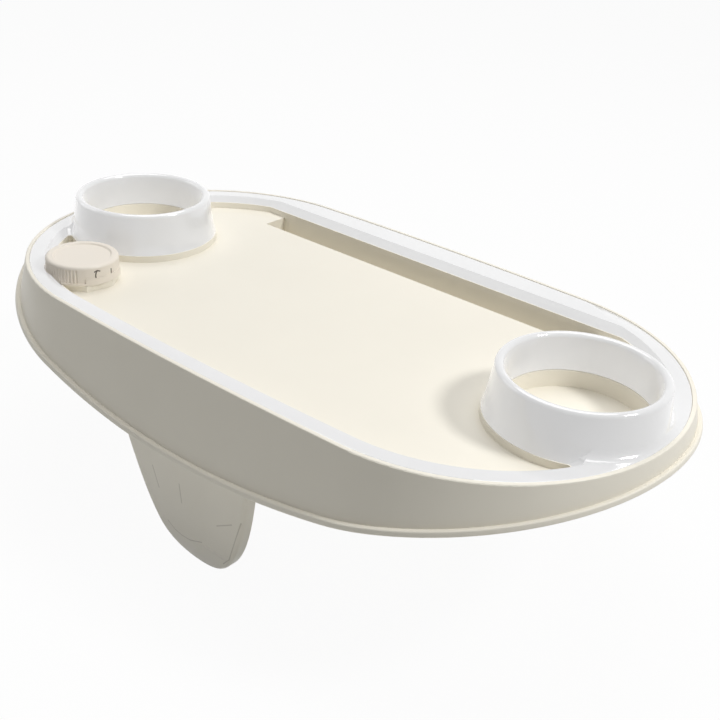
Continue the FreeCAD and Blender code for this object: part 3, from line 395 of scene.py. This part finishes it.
def look(azimuth, elevation, roll, distance, target, lens):
    """Camera at a distance from its target, by angles in degrees."""
    a, e, r = (math.radians(v) for v in (azimuth, elevation, roll))
    back = Vector((math.sin(a) * math.cos(e), -math.cos(a) * math.cos(e), math.sin(e)))
    right = Vector((math.cos(a), math.sin(a), 0.0))
    up = back.cross(right)
    rolled_right = right * math.cos(r) + up * math.sin(r)
    rolled_up = up * math.cos(r) - right * math.sin(r)
    data = bpy.data.cameras.new("camera")
    data.lens = lens
    data.sensor_width = 36.0
    data.clip_start = 0.01
    data.clip_end = 50.0
    camera = bpy.data.objects.new("camera", data)
    place = Vector(target) + back * distance
    camera.matrix_world = Matrix((
        (rolled_right.x, rolled_up.x, back.x, place.x),
        (rolled_right.y, rolled_up.y, back.y, place.y),
        (rolled_right.z, rolled_up.z, back.z, place.z),
        (0.0, 0.0, 0.0, 1.0),
    ))
    scene.collection.objects.link(camera)
    scene.camera = camera


look(CAMERA_AZIMUTH, CAMERA_ELEVATION, CAMERA_ROLL, CAMERA_DISTANCE, CAMERA_TARGET, CAMERA_LENS)


# Floor and light

def rays_that_show(tree):
    """1 for rays that look at the surroundings: the camera's, reflected and refracted ones."""
    path = tree.nodes.new("ShaderNodeLightPath")
    total = None
    for name in ("Is Camera Ray", "Is Glossy Ray", "Is Transmission Ray"):
        if total is None:
            total = path.outputs[name]
            continue
        either = tree.nodes.new("ShaderNodeMath")
        either.operation = "MAXIMUM"
        tree.links.new(total, either.inputs[0])
        tree.links.new(path.outputs[name], either.inputs[1])
        total = either.outputs["Value"]
    return total


def studio_floor():
    """White floor whose share of plain diffuse white keeps the object's shadow."""
    mesh = bpy.data.meshes.new("floor")
    made = bmesh.new()
    bmesh.ops.create_grid(made, x_segments=1, y_segments=1, size=FLOOR_HALF_SIZE)
    made.to_mesh(mesh)
    made.free()
    floor = bpy.data.objects.new("floor", mesh)
    floor.location = (0.0, 0.0, LEG_TIP - FLOOR_GAP)
    scene.collection.objects.link(floor)
    material = bpy.data.materials.new("floor")
    material.use_nodes = True
    tree = material.node_tree
    tree.nodes.remove(tree.nodes["Principled BSDF"])
    pale = tree.nodes.new("ShaderNodeBsdfDiffuse")
    pale.inputs["Color"].default_value = (FLOOR_SHADE, FLOOR_SHADE, FLOOR_SHADE * 0.97, 1.0)
    white = tree.nodes.new("ShaderNodeBsdfDiffuse")
    white.inputs["Color"].default_value = (0.9, 0.9, 0.9, 1.0)
    glow = tree.nodes.new("ShaderNodeEmission")
    glow.inputs["Strength"].default_value = 1.0
    shown = tree.nodes.new("ShaderNodeMixShader")
    shown.inputs["Fac"].default_value = FLOOR_GLOW
    tree.links.new(white.outputs["BSDF"], shown.inputs[1])
    tree.links.new(glow.outputs["Emission"], shown.inputs[2])
    mix = tree.nodes.new("ShaderNodeMixShader")
    tree.links.new(rays_that_show(tree), mix.inputs["Fac"])
    tree.links.new(pale.outputs["BSDF"], mix.inputs[1])
    tree.links.new(shown.outputs["Shader"], mix.inputs[2])
    tree.links.new(mix.outputs["Shader"], tree.nodes["Material Output"].inputs["Surface"])
    mesh.materials.append(material)


def lamp(name, place, size, energy):
    """White disc lamp that faces the origin."""
    data = bpy.data.lights.new(name, "AREA")
    data.shape = "DISK"
    data.size = size
    data.energy = energy
    obj = bpy.data.objects.new(name, data)
    obj.location = place
    obj.rotation_euler = Vector(place).to_track_quat("Z", "Y").to_euler()
    scene.collection.objects.link(obj)


def around(azimuth, height, distance):
    """Place at a distance from the origin, by degrees round from +X and above the floor."""
    a, h = math.radians(azimuth), math.radians(height)
    return Vector((math.cos(a) * math.cos(h), math.sin(a) * math.cos(h), math.sin(h))) * distance


def studio_world(strength):
    """Even light all round, white where the camera or a reflection sees it."""
    world = bpy.data.worlds.new("world")
    scene.world = world
    world.use_nodes = True
    tree = world.node_tree
    light = tree.nodes["Background"]
    light.inputs["Color"].default_value = (1.0, 1.0, 1.0, 1.0)
    light.inputs["Strength"].default_value = strength
    shown = tree.nodes.new("ShaderNodeBackground")
    shown.inputs["Color"].default_value = (1.0, 1.0, 1.0, 1.0)
    shown.inputs["Strength"].default_value = 1.0
    mix = tree.nodes.new("ShaderNodeMixShader")
    tree.links.new(rays_that_show(tree), mix.inputs["Fac"])
    tree.links.new(light.outputs["Background"], mix.inputs[1])
    tree.links.new(shown.outputs["Background"], mix.inputs[2])
    tree.links.new(mix.outputs["Shader"], tree.nodes["World Output"].inputs["Surface"])


studio_floor()
studio_world(WORLD_LIGHT)
lamp("key", around(KEY_AZIMUTH, KEY_HEIGHT, KEY_DISTANCE), KEY_SIZE, KEY_POWER)
lamp("overhead", OVERHEAD_PLACE, OVERHEAD_SIZE, OVERHEAD_POWER)
lamp("side", SIDE_PLACE, SIDE_SIZE, SIDE_POWER)

scene.view_settings.view_transform = "Standard"

bpy.context.view_layer.update()
